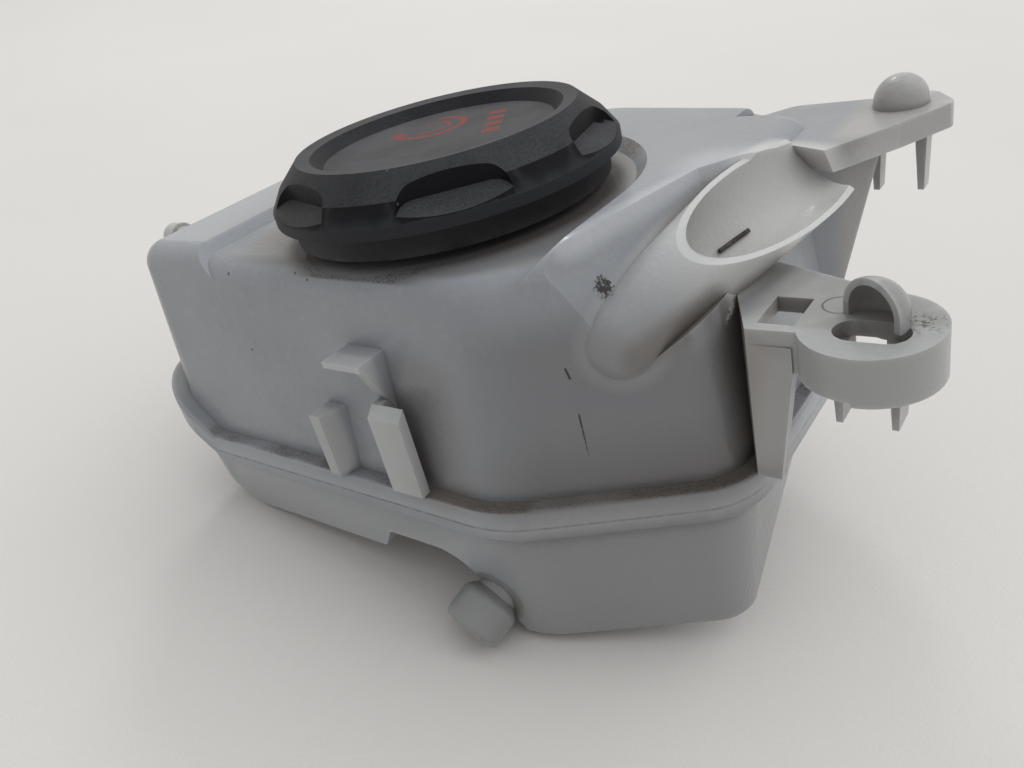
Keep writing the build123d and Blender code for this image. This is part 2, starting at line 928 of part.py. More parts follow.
with BuildPart() as rim_seal:
    with BuildSketch(level(neck_rim_z)):
        Circle(neck_r)
        Circle(plug_r + rim_seal_in, mode=Mode.SUBTRACT)
    extrude(amount=rim_seal_thick)

rim_seal.part.label = "cap_rim_seal"
export_step(rim_seal.part, "parts/cap_rim_seal.step")

o_ring_z = cup_floor_z + o_ring_rise

with BuildPart() as cup:
    with BuildSketch(level(cup_floor_z)):
        Circle(cup_lower_r)
        Circle(port_r, mode=Mode.SUBTRACT)
    extrude(amount=cup_floor)
    with BuildSketch(level(cup_inside_z)):
        Circle(cup_lower_r)
        Circle(cup_lower_r - cup_wall, mode=Mode.SUBTRACT)
    extrude(amount=cup_seat_z - cup_inside_z)
    with BuildSketch(level(cup_seat_z)):
        Circle(cup_upper_r)
        Circle(cup_lower_r - cup_wall, mode=Mode.SUBTRACT)
    extrude(amount=cup_top_z - cup_seat_z)
    with BuildSketch(level(o_ring_z - o_ring_wire / 2)):
        Circle(cup_upper_r)
        Circle(o_ring_r - o_ring_wire / 2, mode=Mode.SUBTRACT)
    extrude(amount=o_ring_wire, mode=Mode.SUBTRACT)

cup.part.label = "valve_housing_cup"
export_step(cup.part, "parts/valve_housing_cup.step")

with BuildPart() as o_ring:
    with Locations(level(o_ring_z)):
        Torus(o_ring_r, o_ring_wire / 2)

o_ring.part.label = "cap_plug_o_ring"
export_step(o_ring.part, "parts/cap_plug_o_ring.step")

with BuildPart() as retainer:
    with BuildSketch(level(retainer_z)):
        Circle(cup_lower_r - cup_wall)
        Circle(retainer_bore_r, mode=Mode.SUBTRACT)
    extrude(amount=retainer_thick)

retainer.part.label = "spring_retainer"
export_step(retainer.part, "parts/spring_retainer.step")

with BuildPart() as valve_seal:
    with BuildSketch(level(cup_inside_z)):
        Circle(valve_seal_out_r)
        Circle(valve_seal_in_r, mode=Mode.SUBTRACT)
    extrude(amount=valve_seal_thick)

valve_seal.part.label = "pressure_valve_seal"
export_step(valve_seal.part, "parts/pressure_valve_seal.step")

with BuildPart() as valve_plate:
    with BuildSketch(level(plate_z)):
        Circle(valve_plate_r)
        Circle(stem_r + stem_clear, mode=Mode.SUBTRACT)
    extrude(amount=valve_plate_thick)
    with BuildSketch(level(plate_top_z)):
        Circle(valve_bush_r)
        Circle(stem_r + stem_clear, mode=Mode.SUBTRACT)
    extrude(amount=valve_bush_high)

valve_plate.part.label = "pressure_valve_plate"
export_step(valve_plate.part, "parts/pressure_valve_plate.step")

with BuildPart() as stem:
    with BuildSketch(level(plate_z - disc_thick)):
        Circle(disc_r)
    extrude(amount=disc_thick)
    with BuildSketch(level(plate_z)):
        Circle(stem_r)
    extrude(amount=stem_head_z - plate_z)
    with BuildSketch(level(stem_head_z)):
        Circle(stem_head_r)
    extrude(amount=stem_head_thick)

stem.part.label = "vacuum_valve_stem"
export_step(stem.part, "parts/vacuum_valve_stem.step")


def coil(low_z, high_z, radius, wire, turns):
    """Round-wire compression spring between two heights round the neck's axis."""
    rise = high_z - low_z - wire - 2 * spring_gap
    with BuildPart() as wound:
        with BuildLine(level(low_z + wire / 2 + spring_gap)) as centre:
            Helix(rise / turns, rise, radius)
        with BuildSketch(centre.line ^ 0):
            Circle(wire / 2)
        sweep(path=centre.line, is_frenet=True)
    return wound.part


with BuildPart() as pressure_spring:
    add(coil(plate_top_z, retainer_z, spring_r, spring_wire, spring_turns))

pressure_spring.part.label = "pressure_valve_spring"
export_step(pressure_spring.part, "parts/pressure_valve_spring.step")

with BuildPart() as vacuum_spring:
    add(coil(bush_top_z, stem_head_z, small_spring_r, small_spring_wire, small_spring_turns))

vacuum_spring.part.label = "vacuum_valve_spring"
export_step(vacuum_spring.part, "parts/vacuum_valve_spring.step")
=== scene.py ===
import json
from collections import namedtuple
from functools import cached_property
from math import cos, pi, prod, radians, sin

import bmesh
import bpy
from mathutils import Matrix, Vector


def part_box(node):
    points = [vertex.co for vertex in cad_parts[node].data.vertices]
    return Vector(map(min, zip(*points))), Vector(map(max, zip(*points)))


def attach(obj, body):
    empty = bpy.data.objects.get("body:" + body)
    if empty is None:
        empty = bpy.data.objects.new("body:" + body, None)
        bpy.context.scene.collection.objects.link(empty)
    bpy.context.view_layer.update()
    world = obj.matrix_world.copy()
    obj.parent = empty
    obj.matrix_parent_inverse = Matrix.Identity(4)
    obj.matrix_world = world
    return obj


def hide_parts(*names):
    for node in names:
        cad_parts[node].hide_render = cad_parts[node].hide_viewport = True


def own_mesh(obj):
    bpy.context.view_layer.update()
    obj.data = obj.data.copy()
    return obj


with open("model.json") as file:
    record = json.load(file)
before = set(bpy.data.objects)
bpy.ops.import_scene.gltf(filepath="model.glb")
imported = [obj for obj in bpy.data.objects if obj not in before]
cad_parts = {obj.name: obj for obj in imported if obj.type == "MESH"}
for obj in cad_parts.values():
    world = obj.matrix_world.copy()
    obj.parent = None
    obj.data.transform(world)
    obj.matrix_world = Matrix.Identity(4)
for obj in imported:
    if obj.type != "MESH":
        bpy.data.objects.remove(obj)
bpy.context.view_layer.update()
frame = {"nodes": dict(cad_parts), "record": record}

# Places on the tank. All lengths are in metres in the part's own frame
NECK_X, NECK_Y = -0.00435, -0.01195
LEDGE_Z = 0.0415
DISH_Z = 0.103

# The weld seam is level, and climbs towards the left end
SEAM_Z = 0.037
CLIMB_X = -0.06835
CLIMB_RISE = 0.7813

# The pocket tube: its axis, how it widens along it, and the limits of its painted glow, light through the thin
# tube, at the wall, the foot and the mouth
TUBE_LOW = (0.0445, -0.0302, 0.0701)
TUBE_HIGH = (0.0676, 0.0152, 0.0896)
TUBE_TAPER = 0.0416
TUBE_WALL = (0.0108, 0.0081)
TUBE_FOOT = (0.005, 0.026)
TUBE_FOOT_SHARE = 0.1
TUBE_MOUTH = (0.06, 0.054)

# The bit of stalk in the pocket tube
TWIG_LOW = (0.0521, -0.0026, 0.0749)
TWIG_HIGH = (0.0558, 0.0038, 0.0768)
TWIG_THICK = 0.00055
TWIG_TAPER = 0.3
TWIG_FLAT = 0.16
TWIG_TWIST = 3
TWIG_BEND = 0.00015
TWIG_RINGS = 7
TWIG_SIDES = 9

# The valve springs: wire, turns, the height of the fixed end and the valve's travel
PRESSURE_WIRE, PRESSURE_TURNS, PRESSURE_SEAT_Z, PRESSURE_TRAVEL = 0.0015, 5, 0.0949, 0.003
VACUUM_WIRE, VACUUM_TURNS, VACUUM_SEAT_Z, VACUUM_TRAVEL = 0.0005, 4, 0.0799, 0.002
COIL_STEPS = 28
COIL_SIDES = 10

# A layer is a colour, how fully it covers, and its zone. A zone has limits for each measure of the surface
# that it names: two, where it begins and where it is full, four, with its least and its full share too, or
# three, a band and its soft edge
Layer = namedtuple("Layer", "colour cover zone", defaults=({},))

# A cloudy pattern: features per metre, how many finer steps it has, and how strong these are
Pattern = namedtuple("Pattern", "scale detail rough", defaults=(2.0, 0.5))

# A mark round a point or along a line: full within the inner distance, gone past the outer one
Spot = namedtuple("Spot", "place inner outer")
Stripe = namedtuple("Stripe", "start end inner outer strength", defaults=(1.0,))

# Sockets of the node that mixes colours, the solid middle of a speck, and the rays that look for creases
MIX_UNDER, MIX_OVER, MIX_RESULT = 6, 7, 2
SPECK_MIDDLE = 0.6
SPECK_STEP = 0.001
CREASE_RAYS = 8


class Value:
    """A shader socket to reckon with: a sum on it adds a Math node to its finish."""

    def __init__(self, finish, socket):
        self.finish = finish
        self.socket = socket

    def also(self, output):
        """Another output of the node that this value comes from."""
        return Value(self.finish, self.socket.node.outputs[output])

    def sum(self, operation, first, second):
        return self.finish.node("ShaderNodeMath", {"operation": operation}, {0: first, 1: second})

    def __add__(self, other):
        return self.sum("ADD", self, other)

    def __radd__(self, other):
        return self.sum("ADD", other, self)

    def __sub__(self, other):
        return self.sum("SUBTRACT", self, other)

    def __rsub__(self, other):
        return self.sum("SUBTRACT", other, self)

    def __mul__(self, other):
        return self.sum("MULTIPLY", self, other)

    def __rmul__(self, other):
        return self.sum("MULTIPLY", other, self)

    def __truediv__(self, other):
        return self.sum("DIVIDE", self, other)

    def __pow__(self, other):
        return self.sum("POWER", self, other)

    def __abs__(self):
        return self.finish.node("ShaderNodeMath", {"operation": "ABSOLUTE"}, {0: self})


class Finish:
    """A material or a world, with the nodes that make its look and the patterns that it is given by name."""

    def __init__(self, owner, **patterns):
        self.owner = owner
        owner.use_nodes = True
        self.tree = owner.node_tree
        self.tree.nodes.clear()
        for name, pattern in patterns.items():
            setattr(self, name, self.noise(pattern))

    def node(self, kind, settings, inputs, output=0):
        """Adds a node: its settings first, then the values or links of its sockets."""
        made = self.tree.nodes.new(kind)
        for name, value in settings.items():
            setattr(made, name, value)
        for name, value in inputs.items():
            if isinstance(value, Value):
                self.tree.links.new(value.socket, made.inputs[name])
            else:
                made.inputs[name].default_value = value
        return None if output is None else Value(self, made.outputs[output])

    def vector(self, operation, first, second, output=0):
        """A sum on places or directions."""
        return self.node("ShaderNodeVectorMath", {"operation": operation}, {0: first, 1: second}, output)

    @cached_property
    def place(self):
        """The place on the surface, in the part's frame."""
        return self.node("ShaderNodeTexCoord", {}, {}, "Object")

    @cached_property
    def x(self):
        return self.node("ShaderNodeSeparateXYZ", {}, {0: self.place}, "X")

    @cached_property
    def y(self):
        return self.x.also("Y")

    @cached_property
    def z(self):
        return self.x.also("Z")

    @cached_property
    def radius(self):
        """Distance from the filler neck's axis."""
        return self.length(self.x - NECK_X, self.y - NECK_Y)

    @cached_property
    def edge(self):
        """Above a half on outer edges, below it in corners."""
        return self.node("ShaderNodeNewGeometry", {}, {}, "Pointiness")

    @cached_property
    def facing_up(self):
        """1 where the surface faces up, 0 where it stands upright."""
        normal = self.node("ShaderNodeNewGeometry", {}, {}, "Normal")
        return self.node("ShaderNodeSeparateXYZ", {}, {0: normal}, "Z")

    def length(self, x, y):
        """Length of a flat step in x and y."""
        step = self.node("ShaderNodeCombineXYZ", {}, {"X": x, "Y": y})
        return self.node("ShaderNodeVectorMath", {"operation": "LENGTH"}, {0: step}, "Value")

    def noise(self, pattern, place=None):
        """A cloudy pattern from 0 to 1."""
        inputs = {"Scale": pattern.scale, "Detail": pattern.detail, "Roughness": pattern.rough}
        return self.node("ShaderNodeTexNoise", {}, {"Vector": place or self.place, **inputs})

    def grains(self, scale, share, size):
        """Scattered round specks: a share of the cells has one."""
        cell = self.node("ShaderNodeTexVoronoi", {}, {"Vector": self.place, "Scale": scale}, "Distance")
        chance = self.node("ShaderNodeSeparateColor", {}, {0: cell.also("Color")})
        chosen = self.ease(chance, 1 - share, 1 - share + SPECK_STEP)
        return self.ease(cell, size, SPECK_MIDDLE * size) * chosen

    def ease(self, value, low, high, least=0.0, full=1.0):
        """Least at low, full at high, soft between."""
        limits = {"From Min": low, "From Max": high, "To Min": least, "To Max": full}
        return self.node("ShaderNodeMapRange", {"interpolation_type": "SMOOTHSTEP"}, {"Value": value, **limits})

    def band(self, value, low, high, soft):
        """1 between low and high, with soft edges outside them."""
        return self.ease(value, low - soft, low) * self.ease(value, high + soft, high)

    def zone(self, limits, *within):
        """1 in a zone of the part, as far as the masks within it are 1 too."""
        masks = list(within)
        for measure, limit in limits.items():
            shape = self.band if len(limit) == 3 else self.ease
            masks.append(shape(getattr(self, measure), *limit))
        return prod(masks[1:], start=masks[0])

    def most(self, *values):
        """The largest of several values."""
        top = values[0]
        for value in values[1:]:
            top = self.node("ShaderNodeMath", {"operation": "MAXIMUM"}, {0: top, 1: value})
        return top

    def blend(self, mask, under, over):
        """One colour over another where the mask is 1."""
        colours = {}
        for name, colour in ((MIX_UNDER, under), (MIX_OVER, over)):
            colours[name] = colour if isinstance(colour, Value) else (*colour, 1.0)
        return self.node("ShaderNodeMix", {"data_type": "RGBA"}, {0: mask, **colours}, MIX_RESULT)

    def lay(self, colour, layer, *within):
        """A layer over a colour, in the layer's zone and within the masks."""
        return self.blend(self.zone(layer.zone, *within) * layer.cover, colour, layer.colour)

    def far(self, point):
        """Distance from a point."""
        return self.vector("DISTANCE", self.place, point, "Value")

    def far_from_line(self, start, end):
        """Distance from the straight line between two points."""
        run = Vector(end) - Vector(start)
        away = self.vector("SUBTRACT", self.place, start)
        along = self.vector("DOT_PRODUCT", away, run, "Value")
        share = self.node("ShaderNodeClamp", {}, {0: along / run.length_squared})
        foot = self.node("ShaderNodeVectorMath", {"operation": "SCALE"}, {0: run, "Scale": share})
        return self.vector("DISTANCE", away, foot, "Value")

    def spot(self, spot):
        """1 in the middle of a spot."""
        return self.ease(self.far(spot.place), spot.outer, spot.inner)

    def stripe(self, stripe):
        """The stripe's strength along its line."""
        distance = self.far_from_line(stripe.start, stripe.end)
        return self.ease(distance, stripe.outer, stripe.inner) * stripe.strength

    def creases(self, reach, low, high):
        """0 in the open, 1 in creases and corners."""
        settings = {"samples": CREASE_RAYS, "only_local": True}
        open_share = self.node("ShaderNodeAmbientOcclusion", settings, {"Distance": reach}, "AO")
        return self.ease(1 - open_share, low, high)

    def finish(self, colour, roughness, relief, depth, **others):
        """Closes the material: colour, roughness, fine relief and the shader's other inputs."""
        inputs = {name.replace("_", " "): value for name, value in others.items()}
        inputs["Base Color"] = colour
        inputs["Roughness"] = roughness
        inputs["Normal"] = self.node("ShaderNodeBump", {}, {"Height": relief, "Distance": depth})
        shader = self.node("ShaderNodeBsdfPrincipled", {}, inputs)
        self.node("ShaderNodeOutputMaterial", {}, {"Surface": shader}, None)
        return self.owner


# The milky plastic itself, thick and thin, from under to over, with painted shade on the front-right wall and
# painted light on thin parts, the left end, the flange's face and the ridge
MILK_CLOUD = Pattern(28.0, 3.0)
MILK_MOTTLE = Pattern(380.0, 4.0, 0.6)
MILK_SKIN, MILK_WAVES = Pattern(900.0, 3.0), Pattern(90.0)
MILK_LIMITS = (0.3, 0.7)
MILK_DEEP, MILK_PALE = (0.262, 0.275, 0.298), (0.3, 0.314, 0.338)
MOTTLE = Layer((0.36, 0.37, 0.385), 0.3, {"mottle": (0.5, 0.75)})
# Painted shade: the front-right wall is darker, and darker brown towards the ledge
FRONT_RIGHT_SHADE_ZONE = {"x": (0.012, 0.034), "y": (0.005, -0.02), "z": (0.083, 0.072)}
FRONT_RIGHT_SHADE_LEAST = 0.7
FRONT_RIGHT_SHADE = Layer((0.172, 0.172, 0.177), 0.9)
LOW_BROWNING = Layer((0.115, 0.102, 0.092), 0.55, {"z": (0.058, 0.043)})
SUMP = Layer((0.39, 0.395, 0.405), 0.5, {"z": (0.034, 0.028)})
SPIGOT = Layer((0.235, 0.235, 0.222), 0.7)
SPIGOT_LINE = Stripe((0.0177, -0.032, 0.019), (0.0097, -0.0584, 0.0066), 0.0071, 0.0077)
# Painted light: the left end is paler, as light falls on it
LEFT_END_PAINTED_LIGHT = Layer((0.47, 0.455, 0.43), 0.7, {"x": (-0.074, -0.083), "z": (0.044, 0.06)})
# Painted light: the thin ears, the back one most, are paler, as light shines through them
EARS_PAINTED_GLOW = Layer((0.3, 0.295, 0.283), 0.85, {"x": (0.0635, 0.068), "z": (0.0425, 0.05)})
BACK_EAR_PAINTED_GLOW = Layer((0.41, 0.4, 0.388), 0.8, {**EARS_PAINTED_GLOW.zone, "y": (0.02, 0.027)})
# Painted light: the flange's front face is paler
FLANGE_ZONE = {"z": (0.0338, 0.0409, 0.0006), "facing_up": (0.6, 0.2), "x": (-0.01, 0.02)}
FLANGE_PAINTED_LIGHT = Layer((0.34, 0.36, 0.392), 0.3, FLANGE_ZONE)
# Painted highlight: a pale line along the ridge's flank and a pale patch beside the tube's mouth
RIDGE_HIGHLIGHT = Layer((0.52, 0.53, 0.555), 0.6)
RIDGE_HIGHLIGHT_SPOT = Spot((0.0508, 0.0041, 0.089), 0.003, 0.013)
RIDGE_HIGHLIGHT_LINE = Stripe((0.0392, -0.034, 0.0897), (0.0474, -0.0015, 0.0903), 0.0008, 0.0046)
CLIP_ZONE = {"y": (-0.0515, -0.0535), "x": (-0.022, 0.0085, 0.001), "z": (0.0412, 0.043)}
# Painted light: the thin clip is paler, as light shines through it
CLIP_PAINTED_GLOW = Layer((0.43, 0.43, 0.425), 0.85, CLIP_ZONE)
# Painted light: the thin tube is much paler, as light shines through it
TUBE_PAINTED_GLOW = Layer((0.6, 0.592, 0.575), 0.9)

# Dirt in the sunk field round the neck
GRIT = Pattern(1500.0, 4.0, 0.7)
RING_GRIT = Pattern(2600.0, 3.0, 0.7)
FIELD = {"z": (0.0862, 0.0896, 0.0006)}
FIELD_DIRT = Layer((0.155, 0.146, 0.137), 0.72, {**FIELD, "radius": (0.062, 0.034), "facing_up": (0.8, 0.97)})
RING_ZONE = {**FIELD, "radius": (0.029, 0.0362, 0.0035)}
RING = Layer((0.105, 0.094, 0.088), 1.0, {"cloud": (0.35, 0.65, 0.45, 0.85)})
RING_LINE_ZONE = {**FIELD, "radius": (0.0346, 0.036, 0.0008), "ring_grit": (0.4, 0.62)}
RING_LINE = Layer((0.036, 0.03, 0.027), 0.75, RING_LINE_ZONE)
SILT = Layer((0.2, 0.165, 0.135), 0.6, FIELD)
SILT_SPOT = Spot((-0.037, -0.0315, 0.088), 0.003, 0.014)
SILT_GRIT = 0.5
SILT_LIMITS = (0.55, 0.85)
RUST = Layer((0.13, 0.075, 0.045), 0.8, {"facing_up": (0.97, 0.8), "grit": (0.38, 0.6)})
RUST_SPOT = Spot((0.0235, 0.0185, 0.0892), 0.002, 0.0085)

# Dust on the weld flange's ledge; painted shade in creases and in crevices by the tube and the gusset; a dark
# streak by the clip; painted light by the gusset's slot
LEDGE_ZONE = {"facing_up": (0.55, 0.85), "z": (0.0405, 0.0422, 0.0012)}
HEAPS = Spot((0.0175, -0.0515, LEDGE_Z), 0.006, 0.02), Spot((0.0575, -0.032, LEDGE_Z), 0.007, 0.02)
HEAP_CLOUD = Pattern(70.0)
HEAP_CLOUD_SHARE = 0.8
DUST_GRIT = 0.5
DUST_LIMITS = (0.45, 0.9)
DUST_COVER = 0.85
DUST_GRAINS = Pattern(2300.0, 3.0, 0.7)
DUST_GRAIN_LIMITS = (0.4, 0.62)
# Painted shade: creases and corners are darker
DUST_BROWN, DUST_DARK = (0.105, 0.085, 0.068), (0.045, 0.036, 0.03)
TANK_CREASES = (0.012, 0.3, 0.72)
CREASE_SHADE = Layer((0.13, 0.115, 0.1), 1.0, {"cloud": (0.4, 0.62, 0.22, 0.62)})
# Dark streaks: painted shade in the crevice under the tube and beside the gusset, and a dark streak beside the
# clip
STREAK_COLOUR = (0.16, 0.142, 0.128)
DARK_STREAKS = (
    Stripe((0.0505, -0.035, 0.0695), (0.0592, -0.0215, 0.0735), 0.001, 0.005, 0.75),
    Stripe((0.0625, -0.0215, 0.043), (0.0618, -0.019, 0.067), 0.001, 0.006, 0.3),
    Stripe((0.0675, -0.0274, 0.043), (0.0672, -0.0274, 0.064), 0.0005, 0.0035, 0.3),
    Stripe((0.0105, -0.052, 0.043), (0.0105, -0.0505, 0.066), 0.002, 0.011, 0.5),
)
# Painted light: paler by the gusset's slot, lifting the shade there
SLOT_ZONE = {"x": (0.0658, 0.0685, 0.005), "y": (-0.031, -0.017, 0.003), "z": (0.046, 0.068, 0.004)}
SLOT_PAINTED_LIGHT = Layer((0.34, 0.31, 0.285), 0.7, SLOT_ZONE)

# Single marks: a black blob by the tube, scratches, a moulded ring and grit on the front ear, a rubbed edge
BLACK_MARK = Layer((0.025, 0.021, 0.018), 0.95)
BLOB = Spot((0.0432, -0.0313, 0.0806), 0.0005, 0.0044)
BLOB_PULL, BLOB_GRIT = 0.55, 1.2
BLOB_LIMITS = (0.98, 1.1)
SCRATCH = Stripe((0.0382, -0.0406, 0.0682), (0.0387, -0.0405, 0.0662), 0.00012, 0.0003)
FAINT_SCRATCHES = (
    Stripe((0.0393, -0.0409, 0.0587), (0.0399, -0.0414, 0.05), 0.0001, 0.00026),
    Stripe((0.0285, -0.0468, 0.053), (0.029, -0.047, 0.049), 0.0001, 0.00026),
)
BROKEN = {"grit": (0.4, 0.5)}
EAR_RING_PLACE = (0.0796, -0.0164, 0.0725)
EAR_RING_BAND = (0.0029, 0.0031, 0.00015)
EAR_RING_ZONE = {"facing_up": (0.8, 0.95)}
EAR_GRIT = Spot((0.0935, -0.0205, 0.0725), 0.001, 0.0055)
EAR_GRIT_ZONE = {"grit": (0.54, 0.6)}
EAR_RING_SHARE, EAR_GRIT_SHARE, SPECK_SHARE = 0.7, 0.8, 0.75
SPECKS = (230.0, 0.05, 0.09), (90.0, 0.035, 0.05)
RUBBED = Layer((0.76, 0.77, 0.79), 0.8, {"grit": (0.44, 0.56)})
RUBBED_LINE = Stripe((0.0602, -0.0208, 0.0699), (0.0611, -0.0176, 0.0713), 0.0003, 0.0013)
WELD = Layer((0.06, 0.055, 0.052), 1.0, {"mottle": (0.4, 0.6, 0.35, 0.85)})
WELD_WIDTH = (0.00035, 0.0001)
# Paler rounded edges: partly wear, partly a painted highlight
WORN_AND_HIGHLIT_EDGES = Layer((0.56, 0.57, 0.585), 0.3, {"edge": (0.52, 0.6)})

# How much the neck's ring and the creases count in the rougher, duller finish of grime and creases
RING_SHARE, CREASE_SHARE = 0.7, 0.4


def moulding(f):
    """The plastic's colour: painted shade on the front-right wall, darker brown towards the ledge, and painted
    light where the moulding is thin, on the left end, the flange's face and the ridge.
    """
    colour = f.blend(f.ease(f.cloud, *MILK_LIMITS), MILK_DEEP, MILK_PALE)
    colour = f.lay(colour, MOTTLE)
    # Painted shade on the front-right wall
    front_right_shade = f.zone(FRONT_RIGHT_SHADE_ZONE, FRONT_RIGHT_SHADE_LEAST + (1 - FRONT_RIGHT_SHADE_LEAST) * f.cloud)
    colour = f.lay(colour, FRONT_RIGHT_SHADE, front_right_shade)
    colour = f.lay(colour, LOW_BROWNING, front_right_shade)
    spigot = f.stripe(SPIGOT_LINE)
    colour = f.lay(colour, SUMP, 1 - spigot)
    colour = f.lay(colour, SPIGOT, spigot)
    # Painted light: the left end, the thin ears and the flange's front face are paler
    for layer in (LEFT_END_PAINTED_LIGHT, EARS_PAINTED_GLOW, BACK_EAR_PAINTED_GLOW, FLANGE_PAINTED_LIGHT):
        colour = f.lay(colour, layer)
    # Painted highlight along the ridge and beside the tube's mouth
    colour = f.lay(colour, RIDGE_HIGHLIGHT, f.most(f.spot(RIDGE_HIGHLIGHT_SPOT), f.stripe(RIDGE_HIGHLIGHT_LINE)))
    # Painted light on the thin clip
    colour = f.lay(colour, CLIP_PAINTED_GLOW)
    # Painted light through the thin tube, fading at its foot and mouth
    up_tube = f.far(TUBE_LOW)
    tube = f.ease(f.far_from_line(TUBE_LOW, TUBE_HIGH) - TUBE_TAPER * up_tube, *TUBE_WALL)
    tube = tube * f.ease(up_tube, *TUBE_FOOT, least=TUBE_FOOT_SHARE) * f.ease(up_tube, *TUBE_MOUTH)
    return f.lay(colour, TUBE_PAINTED_GLOW, tube)


def neck_dirt(f, colour):
    """Dirt in the neck's field, thickest in a ring under the cap. Gives the colour and the ring."""
    colour = f.lay(colour, FIELD_DIRT)
    ring = f.zone(RING_ZONE)
    colour = f.lay(colour, RING, ring)
    colour = f.lay(colour, RING_LINE)
    silt = f.ease(f.cloud + SILT_GRIT * f.grit, *SILT_LIMITS)
    colour = f.lay(colour, SILT, f.spot(SILT_SPOT), silt)
    return f.lay(colour, RUST, f.spot(RUST_SPOT)), ring


def ledge_dust(f, colour):
    """Dust that lies in heaps on the flange's ledge. Gives the colour and the dust."""
    heaps = f.most(*(f.spot(heap) for heap in HEAPS), f.noise(HEAP_CLOUD) * HEAP_CLOUD_SHARE)
    dust = f.zone(LEDGE_ZONE, f.ease(heaps + DUST_GRIT * f.grit, *DUST_LIMITS))
    grains = f.ease(f.noise(DUST_GRAINS), *DUST_GRAIN_LIMITS)
    return f.blend(dust * DUST_COVER, colour, f.blend(grains, DUST_BROWN, DUST_DARK)), dust


def marks_and_scratches(f):
    """Small black marks all over the tank."""
    blob = f.ease(BLOB_PULL * f.spot(BLOB) + BLOB_GRIT * f.grit, *BLOB_LIMITS)
    broken = f.zone(BROKEN)
    scratches = [f.stripe(SCRATCH)] + [f.stripe(faint) * broken for faint in FAINT_SCRATCHES]
    ear_ring = f.zone(EAR_RING_ZONE, f.band(f.far(EAR_RING_PLACE), *EAR_RING_BAND))
    ear_grit = f.zone(EAR_GRIT_ZONE, f.spot(EAR_GRIT))
    specks = f.most(*(f.grains(*kind) for kind in SPECKS))
    ear_marks = ear_ring * EAR_RING_SHARE, ear_grit * EAR_GRIT_SHARE
    return f.most(blob, *scratches, *ear_marks, specks * SPECK_SHARE)


def milky_plastic():
    """Translucent moulded plastic of the tank, with workshop grime, painted light on thin parts and edges, and
    painted shade in creases and on the front-right wall.
    """
    patterns = {"cloud": MILK_CLOUD, "mottle": MILK_MOTTLE, "grit": GRIT, "ring_grit": RING_GRIT}
    f = Finish(bpy.data.materials.new("milky_plastic"), **patterns)
    colour = moulding(f)
    colour, ring = neck_dirt(f, colour)
    colour, dust = ledge_dust(f, colour)

    # Painted shade in creases and corners
    crease_shade = f.creases(*TANK_CREASES)
    colour = f.lay(colour, CREASE_SHADE, crease_shade)
    # Painted shade in the crevices by the tube and the gusset, and a dark streak by the clip
    colour = f.blend(f.most(*(f.stripe(dark_streak) for dark_streak in DARK_STREAKS)), colour, STREAK_COLOUR)
    # Painted light by the gusset's slot
    colour = f.lay(colour, SLOT_PAINTED_LIGHT)
    colour = f.lay(colour, RUBBED, f.stripe(RUBBED_LINE))
    marks = marks_and_scratches(f)
    colour = f.lay(colour, BLACK_MARK, marks)

    seam = SEAM_Z + f.most(CLIMB_X - f.x, 0.0) * CLIMB_RISE
    colour = f.lay(colour, WELD, f.ease(abs(f.z - seam), *WELD_WIDTH))
    # Paler edges: wear and a painted highlight
    colour = f.lay(colour, WORN_AND_HIGHLIT_EDGES, 1 - crease_shade)

    dirt_and_crease_shade = f.most(dust, ring * RING_SHARE, marks, crease_shade * CREASE_SHARE)
    return f.finish(
        colour,
        roughness=0.3 + 0.12 * f.mottle + 0.3 * dirt_and_crease_shade,
        relief=0.55 * f.noise(MILK_SKIN) + 0.45 * f.noise(MILK_WAVES) + 0.35 * dirt_and_crease_shade,
        depth=0.00025,
        IOR=1.49,
        Subsurface_Weight=0.3,
        Subsurface_Radius=(1.0, 1.0, 1.0),
        Subsurface_Scale=0.003,
        Coat_Weight=0.35 - 0.3 * dirt_and_crease_shade,
        Coat_Roughness=0.16,
    )


# The cap's cover: black shades and what lies on them
COVER_CLOUD = Pattern(60.0, 4.0, 0.6)
COVER_GRAIN = Pattern(2600.0, 3.0, 0.6)
COVER_SKIN = Pattern(700.0)
COVER_LIMITS = (0.35, 0.7)
COVER_DEEP, COVER_PALE = (0.003, 0.0034, 0.0052), (0.0055, 0.006, 0.0082)
COVER_TOP = {"facing_up": (0.58, 0.8)}
DUSTY_ZONE = {**COVER_TOP, "cloud": (0.3, 0.7, 0.5, 0.9), "grain": (0.3, 0.7, 0.5, 1.0)}
COVER_DUST = Layer((0.094, 0.095, 0.1), 0.85)
SETTLED_ZONE = {"facing_up": (0.86, 0.97), "z": (0.1005, 0.102), "cloud": (0.3, 0.7, 0.2, 0.5)}
SETTLED = Layer((0.125, 0.124, 0.13), 1.0, SETTLED_ZONE)
COVER_WORN = Layer((0.05, 0.052, 0.058), 0.45, {"edge": (0.515, 0.57)})
COVER_CREASES = (0.006, 0.35, 0.8)
COVER_CREASE = Layer((0.07, 0.06, 0.05), 0.5, COVER_TOP)
COVER_SPECKS = (260.0, 0.06, 0.1)
COVER_SPECK = Layer((0.12, 0.115, 0.11), 0.6)
DIMPLE = Layer((0.004, 0.004, 0.004), 1.0)
DIMPLE_SPOT = Spot((0.0258, 0.0035, 0.1005), 0.0013, 0.0016)

